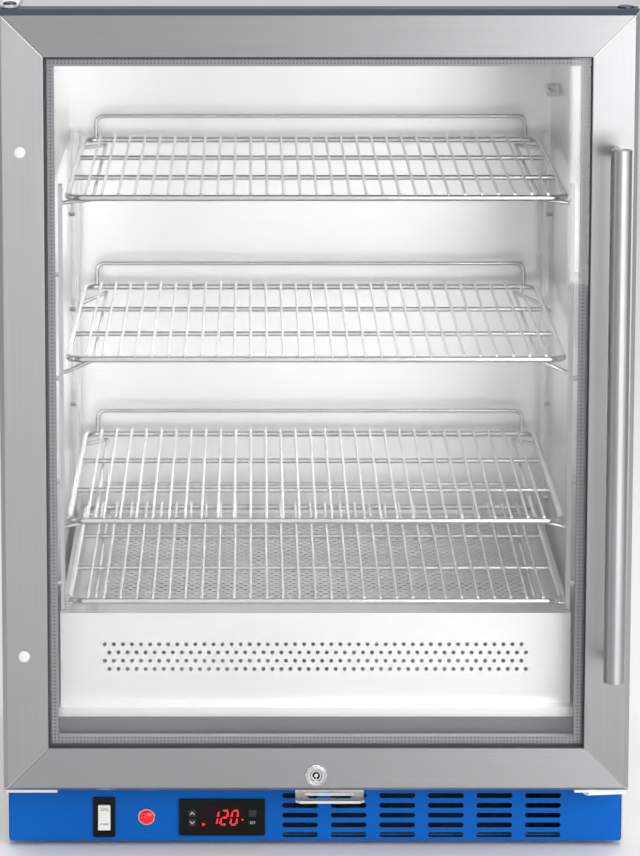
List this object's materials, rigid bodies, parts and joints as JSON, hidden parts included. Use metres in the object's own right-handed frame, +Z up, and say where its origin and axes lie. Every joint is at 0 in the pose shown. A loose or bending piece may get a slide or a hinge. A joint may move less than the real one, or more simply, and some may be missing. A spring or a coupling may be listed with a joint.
{
  "type": "blanket warming cabinet",
  "caption": "Undercounter warming cabinet with a hinged glass door, tube handle, key lock, wire shelves, a heated base and a control strip below the door.",
  "frame": {"origin": "on the floor at the centre of the bounding box", "axes": "+Z up, the door faces -Y, +X to the right of someone facing the door"},
  "size_m": [0.6, 0.633, 0.8285],
  "materials": {
    "brushed_frame": "brushed along each bar",
    "shell_steel": "fine brushed",
    "liner_steel": "bright, polished",
    "plain_steel": "galvanised",
    "chrome_wire": "bright chrome",
    "chrome_fittings": "bright chrome",
    "handle_steel": "satin",
    "glass": "clear",
    "spacer": "perforated",
    "frame_plastic": "dark grey",
    "sill_grey": "dark grey",
    "seal": "matt",
    "top_trim": "dark blue-grey",
    "blue_paint": "satin blue",
    "black_plastic": "satin",
    "white_plastic": "gloss",
    "key_grey": "matt",
    "lamp_red": "lit lens",
    "display": "smoked window",
    "dome_dark": "dark chrome",
    "foam": "rigid foam",
    "heater": "heat tinted",
    "motor": "painted",
    "probe": "plain",
    "foot_plastic": "matt"
  },
  "bodies": {
    "cabinet": {"back_panel": "plain_steel", "base_pan": "plain_steel", "base_rail_and_foam_pan": "plain_steel", "corner_plate_right": "plain_steel", "display_case": "black_plastic", "display_window": "display", "fan_motor": "motor", "front_frame": "sill_grey", "heater_cover": "liner_steel", "heater_deck": "liner_steel", "heater_element": "heater", "hinge_bracket_lower": "plain_steel", "hinge_bracket_upper": "plain_steel", "hinge_pin_cap": "dome_dark", "insulation": "foam", "kick_panel": "blue_paint", "lamp_lens": "lamp_red", "lamp_ring": "chrome_fittings", "liner": "liner_steel", "power_inlet": "black_plastic", "rear_cover": "plain_steel", "shelf_supports": "chrome_wire", "shelf_uprights": "plain_steel", "side_panel_left": "shell_steel", "side_panel_right": "shell_steel", "strike_bracket": "plain_steel", "switch_bezel": "black_plastic", "temperature_probe": "probe", "terminal_box": "motor", "top_panel": "shell_steel"},
    "door": {"door_rail_bottom": "brushed_frame", "door_rail_top": "brushed_frame", "door_stile_left": "brushed_frame", "door_stile_right": "brushed_frame", "door_inner_frame": "frame_plastic", "glass_outer": "glass", "glass_inner": "glass", "glass_spacer": "spacer", "door_gasket": "seal", "door_top_trim": "top_trim", "handle_bar": "handle_steel", "handle_posts": "handle_steel", "handle_hole_plugs": "white_plastic", "lock_barrel": "chrome_fittings", "hinge_bushes": "frame_plastic", "hinge_hole_plug": "dome_dark"},
    "lock": {"lock_plug_and_cam": "chrome_fittings"},
    "rocker": {"switch_rocker": "white_plastic"},
    "fan": {"fan_blade": "black_plastic"},
    "key_up": {"key_up": "key_grey"},
    "key_down": {"key_down": "key_grey"},
    "key_set": {"key_set": "key_grey"},
    "shelf_1": {"shelf_1": "chrome_wire"},
    "shelf_2": {"shelf_2": "chrome_wire"},
    "shelf_3": {"shelf_3": "chrome_wire"},
    "shelf_4": {"shelf_4": "chrome_wire"},
    "foot_front_left": {"foot_front_left": "foot_plastic"},
    "foot_front_right": {"foot_front_right": "foot_plastic"},
    "foot_rear_left": {"foot_rear_left": "foot_plastic"},
    "foot_rear_right": {"foot_rear_right": "foot_plastic"}
  },
  "joints": [
    {"name": "door_hinge", "type": "hinge", "parent": "cabinet", "child": "door", "pos_m": [-0.288, -0.2275, 0.069], "axis": [0, 0, -1], "range_deg": [0, 105]},
    {"name": "lock_turn", "type": "hinge", "parent": "door", "child": "lock", "pos_m": [0, -0.2515, 0.086], "axis": [0, 1, 0], "range_deg": [0, 90]},
    {"name": "rocker_tilt", "type": "hinge", "parent": "cabinet", "child": "rocker", "pos_m": [-0.205, -0.2018, 0.03], "axis": [1, 0, 0], "range_deg": [0, 16]},
    {"name": "fan_spin", "type": "hinge", "parent": "cabinet", "child": "fan", "pos_m": [0, 0.0015, 0.176], "axis": [0, 0, 1], "continuous": true},
    {"name": "key_up_press", "type": "slide", "parent": "cabinet", "child": "key_up", "axis": [0, 1, 0], "range_m": [0, 0.0012], "stiffness_N_per_m": 400, "springref_m": -0.0005},
    {"name": "key_down_press", "type": "slide", "parent": "cabinet", "child": "key_down", "axis": [0, 1, 0], "range_m": [0, 0.0012], "stiffness_N_per_m": 400, "springref_m": -0.0005},
    {"name": "key_set_press", "type": "slide", "parent": "cabinet", "child": "key_set", "axis": [0, 1, 0], "range_m": [0, 0.0012], "stiffness_N_per_m": 400, "springref_m": -0.0005},
    {"name": "shelf_1_lift", "type": "slide", "parent": "cabinet", "child": "shelf_1", "axis": [0, 0, 1], "range_m": [0, 0.015]},
    {"name": "shelf_2_lift", "type": "slide", "parent": "cabinet", "child": "shelf_2", "axis": [0, 0, 1], "range_m": [0, 0.015]},
    {"name": "shelf_3_lift", "type": "slide", "parent": "cabinet", "child": "shelf_3", "axis": [0, 0, 1], "range_m": [0, 0.015]},
    {"name": "shelf_4_lift", "type": "slide", "parent": "cabinet", "child": "shelf_4", "axis": [0, 0, 1], "range_m": [0, 0.015]},
    {"name": "foot_front_left_turn", "type": "hinge", "parent": "cabinet", "child": "foot_front_left", "pos_m": [-0.2578, -0.1415, 0], "axis": [0, 0, 1], "continuous": true},
    {"name": "foot_front_right_turn", "type": "hinge", "parent": "cabinet", "child": "foot_front_right", "pos_m": [0.2578, -0.1415, 0], "axis": [0, 0, 1], "continuous": true},
    {"name": "foot_rear_left_turn", "type": "hinge", "parent": "cabinet", "child": "foot_rear_left", "pos_m": [-0.2578, 0.2483, 0], "axis": [0, 0, 1], "continuous": true},
    {"name": "foot_rear_right_turn", "type": "hinge", "parent": "cabinet", "child": "foot_rear_right", "pos_m": [0.2578, 0.2483, 0], "axis": [0, 0, 1], "continuous": true}
  ]
}
